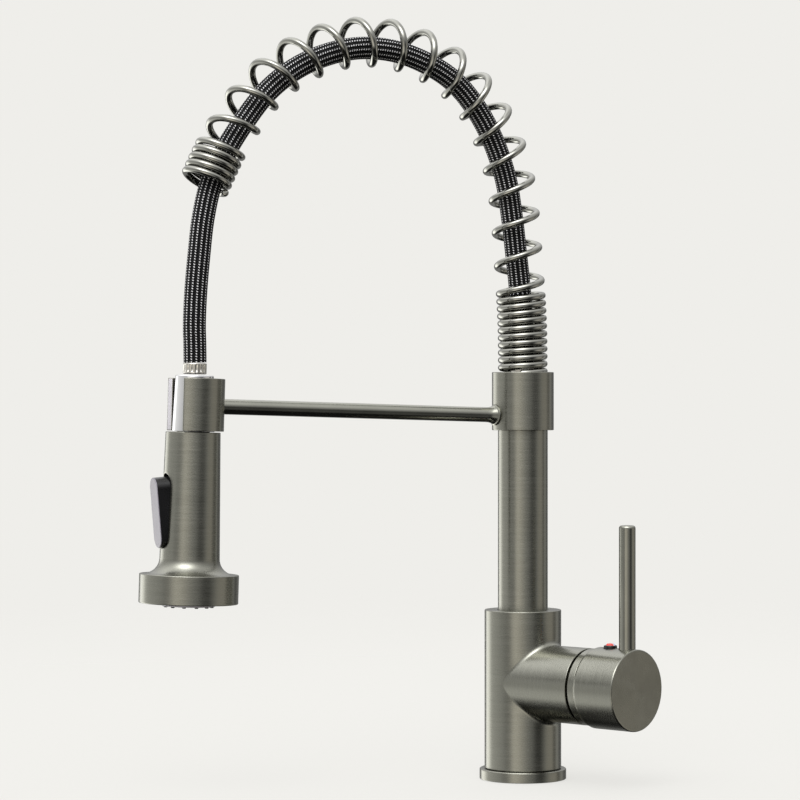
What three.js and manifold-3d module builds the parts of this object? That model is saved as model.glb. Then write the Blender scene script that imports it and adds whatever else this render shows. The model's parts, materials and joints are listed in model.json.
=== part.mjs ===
// Pull-down kitchen faucet with a coil-spring spout, in millimetres.
// Origin: centre of the mounting hole at deck level. +Z is up and +X runs out along the handle's axis.
import * as THREE from "three";
import { mergeVertices } from "three/addons/utils/BufferGeometryUtils.js";
import Module from "manifold-3d";

const wasm = await Module();
wasm.setup();

// ---- driving dimensions ----
const GAP = 0.3; // clearance kept between pieces that touch
const ROUND = 22; // facets round a large turned piece
const SMALL = 12; // facets round a small turned piece
const WIDE = 30; // facets round the widest pieces
const COIL_STEPS = 12; // straight steps in a turn of the spring

const FLANGE_R = 25.2;
const FLANGE_H = 6;
const HOSE_HOLE_R = 15.2;
const BODY_R = 22.3;
const BODY_TOP = 98.2;
const VALVE_Z = 56.5; // height of the valve's axis
const STUB_R = 22;
const STUB_END = 49.6; // the stub's end, along X
const TRIM_START = 51.4;
const SEAT_X = 8; // floor of the cartridge bore
const CARTRIDGE_BORE_R = 18.2;
const PORT_R = 3; // water ways
const PORT_CIRCLE_R = 9.6; // ports round the valve's axis
const PIVOT_X = 33; // the stem's pivot pin
const BALL_X = 24.4; // the stem's ball, in the moving disc

const CAP_R = 23.2;
const CAP_START = 56;
const CAP_END = 84.2;
const LEVER_R = 4.7;
const LEVER_X = 77.3;
const LEVER_TOP = 149.5;
const INDEX_X = 65.2;

const RISER_R = 14.5;
const RISER_BORE_R = 12.9;
const SOCKET_R = 14.9; // the bore that the riser turns in
const SOCKET_FLOOR = 77;
const RISER_TOP = 226;
const SCREW_Z = 90.8; // the screw that keeps the spout down

const COLLAR_R = 18;
const COLLAR_BOTTOM = 202.7;
const COLLAR_TOP = 236.5;

const SPOUT_ANGLE = -113.2; // degrees from the handle's axis to the spout
const HEAD_TILT = 1.7; // degrees that the docked head and the arm lean
const REACH = 203.4; // riser axis to the docking clip's centre
const CLIP_Z = 217.8;
const ARM_R = 4.3;
const ARM_DROP = 0.7; // the arm's axis below the clip's centre
const CLIP_R = 17;
const CLIP_WALL = 3.2;
const CLIP_HALF = 14.6;
const CLIP_OPENING = 99; // degrees, facing away from the riser

const WIRE_R = 2;
const COIL_R = 12.5; // wire centre to spring centreline
const CLOSE_PITCH = 4.35;
const BASE_TURNS = 10.98; // closed turns on the collar
const OPEN_TURNS = 15.934;
const END_TURNS = 5; // closed turns at the free end
const COIL_START = 57; // degrees
const HOSE_R = 6.4;
const HOSE_BORE_R = 3.95;
const NIPPLE_R = 3.2;

// Centrelines in the spout's plane: [distance from the riser's axis, height].
const SPRING_ROUTE = [
  [0, 235.8], [0.3, 262], [1.6, 285], [3.4, 307.6], [5, 327.4], [8.6, 350], [17.2, 374.6], [29, 393.1],
  [43, 406.8], [61, 417], [82, 423], [104, 423.6], [125, 418.7], [144.5, 409.6], [162, 395.8],
  [176, 378.6], [187.5, 360], [197.1, 340.5],
];
const HOSE_ROUTE = [
  [0, 229], [0.3, 262], [2, 285], [4.6, 307], [7, 326], [11.2, 349], [20, 372.2], [31.5, 390.6],
  [44.8, 404.2], [62.3, 413.8], [82.4, 419.6], [103.8, 420.2], [123.9, 415.5], [142.6, 406.8],
  [159.5, 393.5], [173.1, 376.8], [185.3, 358], [193.4, 340.2], [197.9, 321.5], [200.4, 301],
  [202.3, 280], [203.1, 262], [202.85, 251], [202.72, 241.1],
];

// Spray head, along its own axis from the docking clip's centre, upwards positive.
const NECK_BOTTOM_R = 11.8;
const NECK_TOP_R = 10.6;
const NECK_BORE_R = 9.6;
const NECK_TOP = 16.2;
const SHELL_TOP = -15.2;
const SHELL_TOP_R = 15.2;
const FLARE_START = -84.5;
const FLARE_START_R = 16.85;
const BELL_R = 27.6;
const BELL_TOP = -93.9;
const BELL_BOTTOM = -110.1;
const ROCKER_Z = -59.05;
const ROCKER_PIN_X = 9.3;
const ROCKER_HALF = 19.5; // half the button's height
const ROCKER_FACE = 11.5; // pin to the button's face
const ROCKER_TILT = 6.5; // degrees that the button leans at rest
const SLOT_HALF = 20.75;
const SLOT_HALF_WIDTH = 6.25;
const WATERWAY_R = 13;
const PLUNGER_R = 4.6;

// ---- materials ----
const finish = (color, roughness, metalness) => new THREE.MeshStandardMaterial({ color, roughness, metalness });
const NICKEL = finish(0x7d7b72, 0.35, 1);
const POLISHED = finish(0xc9c8c6, 0.08, 1);
const WIRE = finish(0x8d8a82, 0.2, 1);
const BRASS = finish(0xb08d4f, 0.35, 1);
const STEEL = finish(0xb9b7b0, 0.25, 1);
const RUBBER = finish(0x1c1c1c, 0.8, 0);
const BRAID = finish(0x1a1a1a, 0.6, 0);
const PLASTIC = finish(0xd9d7d0, 0.5, 0);
const DARK_PLASTIC = finish(0x3b393f, 0.45, 0);
const GREY_PLASTIC = finish(0x8f8f8d, 0.5, 0);
const CERAMIC = finish(0xf1efe8, 0.3, 0);
const INDEX_RED = finish(0xc23b30, 0.4, 0);

// ---- geometry helpers ----
const radians = THREE.MathUtils.degToRad;
const UP_TO_X = Math.PI / 2; // turn about Y that lays a piece turned about Z along X

// Turned about Z from [radius, height] points. A profile that stays off the axis closes on itself.
function turned(profile, facets = ROUND) {
  const points = profile.map(([radius, height]) => new THREE.Vector2(radius, height));
  if (points[0].x > 0) points.push(points[0].clone());
  if (THREE.ShapeUtils.area(points) < 0) points.reverse();
  return new THREE.LatheGeometry(points, facets).rotateX(Math.PI / 2);
}

const rod = (radius, low, high, facets = ROUND) =>
  turned([[0, low], [radius, low], [radius, high], [0, high]], facets);

const ring = (outer, inner, low, high, facets = ROUND) =>
  turned([[inner, low], [outer, low], [outer, high], [inner, high]], facets);

// A rod with both rims chamfered.
const chamferedRod = (radius, low, high, chamfer, facets = ROUND) =>
  turned([
    [0, low], [radius - chamfer, low], [radius, low + chamfer],
    [radius, high - chamfer], [radius - chamfer, high], [0, high],
  ], facets);

const alongX = (geometry) => geometry.rotateY(UP_TO_X);

const box = (x, y, z) =>
  new THREE.BoxGeometry(x[1] - x[0], y[1] - y[0], z[1] - z[0])
    .translate((x[0] + x[1]) / 2, (y[0] + y[1]) / 2, (z[0] + z[1]) / 2);

const oRing = (radius, section, height) =>
  new THREE.TorusGeometry(radius, section, 5, 18).translate(0, 0, height);

// A prism of a flat outline in the X-Y plane, from low to high.
const prism = (shape, low, high, curveSegments = 12) =>
  new THREE.ExtrudeGeometry(shape, { depth: high - low, bevelEnabled: false, curveSegments }).translate(0, 0, low);

const polygon = (radius, corners) => {
  const points = [];
  for (let i = 0; i < corners; i += 1) {
    const angle = (2 * Math.PI * i) / corners;
    points.push(new THREE.Vector2(radius * Math.cos(angle), radius * Math.sin(angle)));
  }
  return points;
};

function manifoldOf(geometry) {
  const bare = geometry.clone();
  bare.deleteAttribute("normal");
  bare.deleteAttribute("uv");
  const merged = mergeVertices(bare, 1e-4);
  const triVerts = new Uint32Array(merged.index.array);
  return new wasm.Manifold(
    new wasm.Mesh({ numProp: 3, vertProperties: merged.attributes.position.array, triVerts }),
  );
}

// Joins the first list of geometries, then cuts the second list away.
function carved(joined, cuts = []) {
  let whole = joined.map(manifoldOf).reduce((a, b) => a.add(b));
  for (const cut of cuts) whole = whole.subtract(manifoldOf(cut));
  const { vertProperties, triVerts } = whole.getMesh();
  const geometry = new THREE.BufferGeometry();
  geometry.setAttribute("position", new THREE.BufferAttribute(vertProperties, 3));
  geometry.setIndex(new THREE.BufferAttribute(triVerts, 1));
  geometry.computeVertexNormals();
  return geometry;
}

function add(group, name, geometry, material) {
  const mesh = new THREE.Mesh(geometry, material);
  mesh.name = name;
  group.add(mesh);
  return mesh;
}

const inPlane = ([u, z]) => new THREE.Vector3(u, 0, z);

// ---- base and valve body ----
const PORTS = [
  { angle: 90, end: SOCKET_FLOOR + 1 }, // mixed water, up into the riser
  { angle: 218, end: 27 }, // hot, down to its hose
  { angle: 322, end: 27 }, // cold, down to its hose
].map(({ angle, end }) => ({
  y: PORT_CIRCLE_R * Math.cos(radians(angle)),
  z: PORT_CIRCLE_R * Math.sin(radians(angle)),
  end,
}));
const PORT_X = 3.5; // the vertical ways, just behind the cartridge's seat

const portHoles = (radius, low, high) =>
  PORTS.map(({ y, z }) => alongX(rod(radius, low, high, 12)).translate(0, y, z));

function baseFlange() {
  const chamfer = 0.8;
  return turned([
    [HOSE_HOLE_R, 0], [17.2, 0], [17.2, 1.7], [20.6, 1.7], [20.6, 0], [FLANGE_R - 0.3, 0],
    [FLANGE_R, 0.3], [FLANGE_R, FLANGE_H - chamfer], [FLANGE_R - chamfer, FLANGE_H], [HOSE_HOLE_R, FLANGE_H],
  ], WIDE);
}

function valveBody() {
  const bottom = FLANGE_H + GAP;
  const waterWays = PORTS.map(({ y, z, end }) => {
    const port = VALVE_Z + z;
    const low = Math.min(port - PORT_R, end);
    const high = Math.max(port + PORT_R, end);
    return rod(PORT_R, low, high, 12).translate(PORT_X, y, 0);
  });
  const screwHole = alongX(rod(2.4, 13, 25, 12)).translate(0, 0, SCREW_Z).rotateZ(radians(SPOUT_ANGLE + 180));
  return carved(
    [
      chamferedRod(BODY_R, bottom, BODY_TOP, 0.6, WIDE),
      alongX(chamferedRod(STUB_R, 0, STUB_END, 0.5, WIDE)).translate(0, 0, VALVE_Z),
    ],
    [
      rod(17.8, bottom - 1, 28), // room for the supply hoses and the mounting stud
      rod(SOCKET_R, SOCKET_FLOOR, BODY_TOP + 1, WIDE),
      alongX(rod(CARTRIDGE_BORE_R, SEAT_X, STUB_END + 1, WIDE)).translate(0, 0, VALVE_Z),
      ...portHoles(PORT_R, 0.5, SEAT_X + 1).map((hole) => hole.translate(0, 0, VALVE_Z)),
      ...waterWays,
      rod(4, 27, 45, 12).translate(-10, 0, 0), // blind hole for the mounting stud
      screwHole,
    ],
  );
}

function retainingScrew() {
  const body = alongX(rod(2, 13.4, 21.5, 12));
  const socket = alongX(rod(1.1, 19.5, 22, 6));
  return carved([body], [socket]).translate(0, 0, SCREW_Z).rotateZ(radians(SPOUT_ANGLE + 180));
}

function buildBase(root) {
  add(root, "base_flange", baseFlange(), NICKEL);
  add(root, "base_gasket", ring(20.3, 17.5, 0, 1.4), RUBBER);
  add(root, "valve_body", valveBody(), NICKEL);
  add(root, "spout_retaining_screw", retainingScrew(), STEEL);
}

// ---- ceramic cartridge, turned about the valve's axis ----
function cartridgeHousing() {
  return turned([
    [14.5, SEAT_X + GAP], [17.5, SEAT_X + GAP], [17.5, 40], [9.3, 40], [9.3, 37], [14.5, 37],
  ]);
}

function cartridgeRotor() {
  const slot = box([24, 45], [-4.3, 4.3], [-8, 8]);
  const pinHole = rod(1.8, -15, 15, 12).rotateX(Math.PI / 2).translate(PIVOT_X, 0, 0);
  return carved([alongX(rod(14, 25.6, 36.7)), alongX(rod(9, 36, 43))], [slot, pinHole]);
}

function cartridgeStem() {
  const pinHole = rod(1.8, -5, 5, 12).rotateX(Math.PI / 2).translate(PIVOT_X, 0, 0);
  return carved(
    [
      alongX(rod(3.9, 30, 70, SMALL)),
      alongX(rod(2.2, BALL_X, 31, 12)),
      new THREE.SphereGeometry(2.6, 10, 6).translate(BALL_X, 0, 0),
    ],
    [pinHole],
  );
}

function movingDisc() {
  const socket = alongX(rod(3, 21.4, 26, 16));
  const mixingPocket = box([19, 21], [-5, 5], [-6, 9]);
  return carved([alongX(rod(10, 20.3, 25.3))], [socket, mixingPocket]);
}

function buildCartridge(valve) {
  add(valve, "port_seal", carved([alongX(rod(13.5, SEAT_X + GAP, 11, 24))], portHoles(PORT_R, 7, 12)), RUBBER);
  add(valve, "cartridge_base", carved([alongX(rod(14.2, 11.3, 16, 24))], portHoles(PORT_R, 10, 17)), PLASTIC);
  add(valve, "cartridge_housing", alongX(cartridgeHousing()), PLASTIC);
  add(valve, "fixed_ceramic_disc", carved([alongX(rod(14, 16.3, 20, 24))], portHoles(PORT_R, 15, 21)), CERAMIC);
  add(valve, "moving_ceramic_disc", movingDisc(), CERAMIC);
  add(valve, "cartridge_rotor", cartridgeRotor(), GREY_PLASTIC);
  add(valve, "stem_pivot_pin", rod(1.5, -13.2, 13.2, 12).rotateX(Math.PI / 2).translate(PIVOT_X, 0, 0), STEEL);
  add(valve, "cartridge_stem", cartridgeStem(), BRASS);
  add(valve, "cartridge_lock_nut", alongX(ring(17.9, 12, 40.3, 45.7)), BRASS);
  const trimProfile = [
    [14, 46], [17.9, 46], [17.9, TRIM_START], [STUB_R, TRIM_START], [STUB_R, CAP_START - GAP], [14, CAP_START - GAP],
  ];
  add(valve, "trim_ring", alongX(turned(trimProfile, WIDE)), NICKEL);
}

// ---- handle ----
function handleCap() {
  const skirtR = STUB_R + 0.4;
  const shell = turned([
    [0, 71], [20, 71], [20, 60], [skirtR, 60], [skirtR, CAP_START], [CAP_R, CAP_START + 1.6],
    [CAP_R, CAP_END - 0.8], [CAP_R - 0.8, CAP_END], [0, CAP_END],
  ], WIDE);
  const hub = rod(8, 62, 72, SMALL);
  return carved(
    [alongX(shell), alongX(hub)],
    [
      alongX(rod(4.2, 61, 70.3, SMALL)), // stem hole
      rod(LEVER_R + 0.25, 17.5, CAP_R + 1, 24).translate(LEVER_X, 0, 0),
      rod(2.3, 0, 21, 12).translate(INDEX_X, 0, 0), // set screw hole
      rod(4.1, 21.2, CAP_R + 1, 16).translate(INDEX_X, 0, 0), // index plug recess
      rod(3.2, 19, 22, 12).translate(INDEX_X, 0, 0), // way in for the key
    ],
  );
}

function buildHandle(valve) {
  add(valve, "handle_cap", handleCap(), NICKEL);
  const lever = chamferedRod(LEVER_R, 17.9, LEVER_TOP - VALVE_Z, 0.6, 24).translate(LEVER_X, 0, 0);
  add(valve, "lever_rod", lever, NICKEL);
  const screw = carved([rod(2, 4.3, 12, 12)], [rod(1.1, 10, 13, 6)]).translate(INDEX_X, 0, 0);
  add(valve, "handle_set_screw", screw, STEEL);
  const plug = turned([[0, 21.6], [3.8, 21.6], [3.8, 24.4], [2.7, 25.7], [0, 25.9]], 20).translate(INDEX_X, 0, 0);
  add(valve, "index_plug", plug, INDEX_RED);
}

// ---- riser, collar and arm, in the spout's plane ----
function riserSpigot() {
  return turned([
    [9, 78.3], [RISER_R, 78.3], [RISER_R, 80], [12.4, 80], [12.4, 82.6], [RISER_R, 82.6], [RISER_R, 84],
    [12.4, 84], [12.4, 86.6], [RISER_R, 86.6], [RISER_R, 88.2], [12.9, 88.2], [12.9, 93.4], [RISER_R, 93.4],
    [RISER_R, 94.7], [12.6, 94.7], [12.6, 101], [9, 101],
  ]);
}

function topCollar() {
  const chamfer = 0.5;
  const armHole = alongX(rod(2.8, 0, COLLAR_R + 1, 12)).translate(0, 0, armHeight(COLLAR_R));
  const setScrewHole = alongX(rod(2.3, -COLLAR_R - 1, 0, 12)).translate(0, 0, 211);
  const shell = turned([
    [14.8, COLLAR_BOTTOM], [COLLAR_R - chamfer, COLLAR_BOTTOM], [COLLAR_R, COLLAR_BOTTOM + chamfer],
    [COLLAR_R, COLLAR_TOP - chamfer], [COLLAR_R - chamfer, COLLAR_TOP], [15, COLLAR_TOP], [15, 233.4],
    [8.2, 233.4], [8.2, 228], [14.8, 228],
  ]);
  return carved([shell], [armHole, setScrewHole]);
}

// Height of the leaning arm's axis at a distance from the riser.
function armHeight(distance) {
  return CLIP_Z - ARM_DROP - (REACH - distance) * Math.tan(radians(HEAD_TILT));
}

function hoseCoupling() {
  return turned([
    [2, 206], [12.6, 206], [12.6, 212], [10.5, 212], [10.5, 214.6], [12.6, 214.6], [12.6, 225.7],
    [NIPPLE_R, 225.7], [NIPPLE_R, 238], [2, 238],
  ]);
}

// The arm's own frame: X along the arm from the clip's centre, so the riser is at -REACH.
function supportArm() {
  const lean = radians(HEAD_TILT);
  const flare = turned([[0, -3], [6.2, -3], [5.6, 0], [4.6, 2.6], [ARM_R, 4.5], [0, 4.5]], 24);
  const collarFace = -REACH / Math.cos(lean) + COLLAR_R;
  const joined = [
    alongX(rod(ARM_R, collarFace - 1, -CLIP_R + 1.5, 24)),
    alongX(flare).translate(collarFace + 0.3, 0, 0),
  ];
  const collarClearance = rod(COLLAR_R + GAP, -30, 30, 48).rotateY(lean).translate(-REACH / Math.cos(lean), 0, 0);
  const clipClearance = rod(CLIP_R + GAP, -30, 30, 48);
  const bar = carved(joined, [collarClearance, clipClearance]);
  const studs = [
    alongX(rod(2.4, collarFace - 2.6, collarFace + 6, 12)),
    alongX(rod(2.4, -CLIP_R - 4, -CLIP_R + 1.3, 12)),
  ];
  return carved([bar, ...studs]).translate(0, 0, -ARM_DROP);
}

function dockingClip() {
  const chamfer = 0.3;
  const inner = CLIP_R - CLIP_WALL;
  const sleeve = turned([
    [inner, -CLIP_HALF], [CLIP_R - chamfer, -CLIP_HALF], [CLIP_R, -CLIP_HALF + chamfer],
    [CLIP_R, CLIP_HALF - chamfer], [CLIP_R - chamfer, CLIP_HALF], [inner, CLIP_HALF],
  ], WIDE);
  const wedge = new THREE.Shape();
  const half = radians(CLIP_OPENING / 2);
  wedge.moveTo(0, 0);
  wedge.lineTo(40 * Math.cos(half), -40 * Math.sin(half));
  wedge.lineTo(40 * Math.cos(half), 40 * Math.sin(half));
  wedge.closePath();
  const armHole = alongX(rod(2.8, -CLIP_R - 1, 0, 12)).translate(0, 0, -ARM_DROP);
  return carved([sleeve], [prism(wedge, -CLIP_HALF - 1, CLIP_HALF + 1), armHole]);
}

// ---- spring and hose ----
// The centreline is followed at the close pitch at both ends and evenly between them.
class CoilCurve extends THREE.Curve {
  constructor() {
    super();
    this.spine = new THREE.CatmullRomCurve3(SPRING_ROUTE.map(inPlane));
    this.spine.arcLengthDivisions = 1000;
    this.length = this.spine.getLength();
    this.turns = BASE_TURNS + OPEN_TURNS + END_TURNS;
    this.arcLengthDivisions = 6000;
  }

  // Distance along the spine after a number of turns.
  travel(turn) {
    const base = BASE_TURNS * CLOSE_PITCH;
    const end = this.length - END_TURNS * CLOSE_PITCH;
    if (turn < BASE_TURNS) return turn * CLOSE_PITCH;
    if (turn < BASE_TURNS + OPEN_TURNS) return base + ((turn - BASE_TURNS) * (end - base)) / OPEN_TURNS;
    return end + (turn - BASE_TURNS - OPEN_TURNS) * CLOSE_PITCH;
  }

  // The same, with the change of pitch eased over half a turn.
  easedTravel(turn) {
    const offsets = [-0.25, -0.125, 0, 0.125, 0.25];
    const sum = offsets.reduce((total, offset) => total + this.travel(turn + offset), 0);
    return sum / offsets.length;
  }

  getPoint(t, target = new THREE.Vector3()) {
    const turn = t * this.turns;
    const along = THREE.MathUtils.clamp(this.easedTravel(turn) / this.length, 0, 1);
    const tangent = this.spine.getTangentAt(along);
    const inward = new THREE.Vector3(tangent.z, 0, -tangent.x);
    const angle = radians(COIL_START) + 2 * Math.PI * turn;
    return target
      .copy(this.spine.getPointAt(along))
      .addScaledVector(inward, COIL_R * Math.cos(angle))
      .add(new THREE.Vector3(0, COIL_R * Math.sin(angle), 0));
  }
}

function coilSpring() {
  const curve = new CoilCurve();
  const steps = Math.round(curve.turns * COIL_STEPS);
  const wire = new THREE.Shape(polygon(WIRE_R, 5));
  return new THREE.ExtrudeGeometry(wire, { steps, extrudePath: curve });
}

function sprayHose() {
  const route = new THREE.CatmullRomCurve3(HOSE_ROUTE.map(inPlane));
  const wall = new THREE.Shape(polygon(HOSE_R, 12));
  wall.holes.push(new THREE.Path(polygon(HOSE_BORE_R, 6)));
  return new THREE.ExtrudeGeometry(wall, { steps: 32, extrudePath: route });
}

function buildSpout(spout) {
  add(spout, "riser_spigot", riserSpigot(), BRASS);
  add(spout, "lower_riser_o_ring", oRing(13.7, 1.05, 81.3), RUBBER);
  add(spout, "upper_riser_o_ring", oRing(13.7, 1.05, 85.3), RUBBER);
  add(spout, "riser_tube", ring(RISER_R, RISER_BORE_R, 95, RISER_TOP), NICKEL);
  add(spout, "top_collar", topCollar(), NICKEL);
  const setScrew = carved([alongX(rod(1.9, -17.7, -14.9, 12))], [alongX(rod(1, -18, -16.2, 6))]);
  add(spout, "collar_set_screw", setScrew.translate(0, 0, 211), STEEL);
  add(spout, "hose_coupling", hoseCoupling(), BRASS);
  add(spout, "coupling_o_ring", oRing(11.7, 0.95, 213.3), RUBBER);
  add(spout, "upper_hose_ferrule", ring(7.6, 6.8, 226.3, 240, SMALL), STEEL);
  add(spout, "coil_spring", coilSpring(), WIRE);
  add(spout, "spray_hose", sprayHose(), BRAID);
}

// ---- spray head, about its own axis with the docking clip's centre at the origin ----
function hoseFerrule() {
  return turned([
    [1.8, 4.5], [2.7, 4.5], [2.7, 16.6], [6.6, 16.9], [6.6, 23], [NIPPLE_R, 23], [NIPPLE_R, 29], [1.8, 29],
  ], SMALL);
}

function hoseNut() {
  const hexagon = prism(new THREE.Shape(polygon(7.9, 6)), 10.6, 16.3);
  return carved([hexagon, rod(5.5, 3.6, 11, SMALL)], [rod(3.1, 2, 18, 16)]);
}

function headNeck() {
  return turned([
    [NECK_BORE_R, -14.9], [NECK_BOTTOM_R, -14.9], [NECK_TOP_R, NECK_TOP - 0.7], [NECK_TOP_R - 0.7, NECK_TOP],
    [8.4, NECK_TOP], [8.4, NECK_TOP - 2], [NECK_BORE_R, NECK_TOP - 2],
  ]);
}

// A slot outline with round ends, upright in the plane facing along X.
function slotPrism(halfHeight, halfWidth, near, far) {
  const straight = halfHeight - halfWidth;
  const outline = new THREE.Shape();
  outline.absarc(straight, 0, halfWidth, -Math.PI / 2, Math.PI / 2);
  outline.absarc(-straight, 0, halfWidth, Math.PI / 2, (3 * Math.PI) / 2);
  outline.closePath();
  return alongX(prism(outline, near, far, 8));
}

function headShell() {
  const outside = [
    [SHELL_TOP_R - 0.4, SHELL_TOP], [SHELL_TOP_R, SHELL_TOP - 0.4], [FLARE_START_R, FLARE_START],
    [17.6, -88], [19.2, -90.8], [21.9, -92.7], [24.8, -93.5], [BELL_R - 0.4, BELL_TOP],
    [BELL_R, BELL_TOP - 0.4], [BELL_R, BELL_BOTTOM + 0.6], [BELL_R - 0.6, BELL_BOTTOM],
  ];
  const inside = [[25.3, BELL_BOTTOM], [25.3, -97], [17, -91.5], [13.6, -86], [13.6, SHELL_TOP]];
  const wall = turned([...outside, ...inside], WIDE);
  return carved([wall], [slotPrism(SLOT_HALF, SLOT_HALF_WIDTH, 5, 25).translate(0, 0, ROCKER_Z)]);
}

function waterway() {
  const sealGroove = ring(16, 7.4, -2, 0.6);
  const tongueSlot = box([0, 8], [-2.2, 2.2], [ROCKER_Z - 5, ROCKER_Z + 5]);
  const pocket = box([6, 20], [-6.7, 6.7], [ROCKER_Z - 21.5, ROCKER_Z + 21.5]);
  const pinHole = rod(1.5, -12, 12, 12).rotateX(Math.PI / 2).translate(ROCKER_PIN_X, 0, ROCKER_Z);
  return carved(
    [rod(WATERWAY_R, -84, -15.5), rod(NECK_BORE_R - 0.4, -16, 10)],
    [
      sealGroove,
      pocket,
      tongueSlot,
      pinHole,
      rod(PLUNGER_R + 0.4, -85, -20, SMALL),
      rod(3, -21, 2, 16),
      rod(5.9, 1.5, 11, SMALL),
    ],
  );
}

// The button is shorter than its slot by the room that it needs to rock.
function rockerButton() {
  const halfWidth = SLOT_HALF_WIDTH - GAP;
  const tongue = box([-6.6, 1], [-1.6, 1.6], [-1, 1]);
  const boss = rod(2.6, -halfWidth, halfWidth, 16).rotateX(Math.PI / 2);
  const underside = [box([-1, 3.5], [-10, 10], [3, 30]), box([-1, 3.5], [-10, 10], [-30, -3])];
  const pad = carved([slotPrism(ROCKER_HALF, halfWidth, -0.4, ROCKER_FACE)], underside);
  const pinHole = rod(1.5, -12, 12, 12).rotateX(Math.PI / 2);
  return carved([pad, boss, tongue], [pinHole])
    .rotateY(radians(ROCKER_TILT))
    .translate(ROCKER_PIN_X, 0, ROCKER_Z);
}

function diverterPlunger() {
  return turned([
    [0, -73], [PLUNGER_R, -73], [PLUNGER_R, -70.4], [2.9, -70.4], [2.9, -68], [PLUNGER_R, -68],
    [PLUNGER_R, -60.3], [2.2, -60.3], [2.2, -56.4], [PLUNGER_R, -56.4], [PLUNGER_R, -50],
    [2.9, -50], [2.9, -47.6], [PLUNGER_R, -47.6], [PLUNGER_R, -45], [0, -45],
  ], SMALL);
}

const NOZZLES = 12;
const NOZZLE_CIRCLE_R = 13.2;

const nozzles = (radius, low, high) =>
  Array.from({ length: NOZZLES }, (_, i) =>
    rod(radius, low, high, 6).translate(NOZZLE_CIRCLE_R, 0, 0).rotateZ((2 * Math.PI * i) / NOZZLES));

function sprayFace() {
  const face = turned([
    [9, -111], [15.2, -111], [15.8, BELL_BOTTOM + 0.5], [25, BELL_BOTTOM + 0.5], [25, -105.6], [9, -105.6],
  ]);
  return carved([face], nozzles(1.3, -112, -105));
}

function sprayChamber() {
  return turned([
    [5.4, -84.3], [12.8, -84.3], [12.8, -86.6], [16.4, -92.4], [25, -98.2], [25, -103], [22.6, -103],
    [22.6, -99.4], [14.6, -94], [10.8, -87.6], [5.4, -87.6],
  ]);
}

function aerator() {
  return turned([
    [0, -108.5], [6.2, -108.5], [6.2, -111.4], [8.6, -111.4], [8.6, -98], [7, -98], [7, -104], [0, -104],
  ], 24);
}

function buildHead(head) {
  add(head, "hose_ferrule", hoseFerrule(), STEEL);
  add(head, "hose_nut", hoseNut(), BRASS);
  add(head, "hose_washer", ring(5.4, 3.4, 1.9, 3.3, SMALL), RUBBER);
  add(head, "head_neck", headNeck(), POLISHED);
  add(head, "neck_o_ring", oRing(8.5, 0.9, -0.7), RUBBER);
  add(head, "head_shell", headShell(), NICKEL);
  add(head, "waterway", waterway(), GREY_PLASTIC);
  add(head, "check_valve", ring(4.6, 2.4, -34, -22, 16), PLASTIC);
  add(head, "diverter_plunger", diverterPlunger(), PLASTIC);
  add(head, "lower_plunger_o_ring", oRing(3.95, 0.8, -69.2), RUBBER);
  add(head, "upper_plunger_o_ring", oRing(3.95, 0.8, -48.8), RUBBER);
  add(head, "rocker_button", rockerButton(), DARK_PLASTIC);
  const pin = rod(1.2, -7.9, 7.9, 12).rotateX(Math.PI / 2).translate(ROCKER_PIN_X, 0, ROCKER_Z);
  add(head, "rocker_pin", pin, STEEL);
  add(head, "spray_chamber", sprayChamber(), GREY_PLASTIC);
  add(head, "nozzle_mat", carved([ring(17, 10, -105.3, -103.3), ...nozzles(1, -112.2, -104)]), RUBBER);
  add(head, "spray_face", sprayFace(), DARK_PLASTIC);
  add(head, "aerator", aerator(), GREY_PLASTIC);
}

// ---- the whole faucet ----
const faucet = new THREE.Group();
buildBase(faucet);

const valve = new THREE.Group();
valve.position.z = VALVE_Z;
faucet.add(valve);
buildCartridge(valve);
buildHandle(valve);

const spout = new THREE.Group();
spout.rotation.z = radians(SPOUT_ANGLE);
faucet.add(spout);
buildSpout(spout);

const head = new THREE.Group();
head.position.set(REACH, 0, CLIP_Z);
head.rotation.y = -radians(HEAD_TILT);
spout.add(head);
add(head, "support_arm", supportArm(), NICKEL);
add(head, "docking_clip", dockingClip(), NICKEL);
buildHead(head);

export default faucet;
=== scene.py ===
"""Looks of a pull-down kitchen faucet with a coil-spring spout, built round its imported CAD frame.

Shapes are drawn in millimetres, and MM turns them into the scene's metres.
"""

import json
import math

import bpy
import numpy as np
from mathutils import Matrix, Vector


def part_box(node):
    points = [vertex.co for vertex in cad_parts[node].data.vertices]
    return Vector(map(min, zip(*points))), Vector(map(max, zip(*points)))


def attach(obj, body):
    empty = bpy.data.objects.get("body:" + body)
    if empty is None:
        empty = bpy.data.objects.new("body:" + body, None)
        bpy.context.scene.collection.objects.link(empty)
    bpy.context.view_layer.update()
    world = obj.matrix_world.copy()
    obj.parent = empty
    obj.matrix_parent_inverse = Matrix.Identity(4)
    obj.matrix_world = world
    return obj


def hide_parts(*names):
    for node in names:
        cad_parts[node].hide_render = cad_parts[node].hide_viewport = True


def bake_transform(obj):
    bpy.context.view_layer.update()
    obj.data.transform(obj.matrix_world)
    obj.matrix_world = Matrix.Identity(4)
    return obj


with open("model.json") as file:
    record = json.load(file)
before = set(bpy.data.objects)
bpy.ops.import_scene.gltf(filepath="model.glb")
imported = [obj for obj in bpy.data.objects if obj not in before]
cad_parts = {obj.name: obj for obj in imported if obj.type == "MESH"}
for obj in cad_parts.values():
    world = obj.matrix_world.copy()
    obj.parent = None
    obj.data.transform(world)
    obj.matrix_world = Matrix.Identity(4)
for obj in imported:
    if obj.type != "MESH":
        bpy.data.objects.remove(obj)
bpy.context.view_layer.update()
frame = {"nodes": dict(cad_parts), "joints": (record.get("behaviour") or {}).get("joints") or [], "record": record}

MM = 0.001
JOINTS = {joint["name"]: joint for joint in frame["joints"]}

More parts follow.
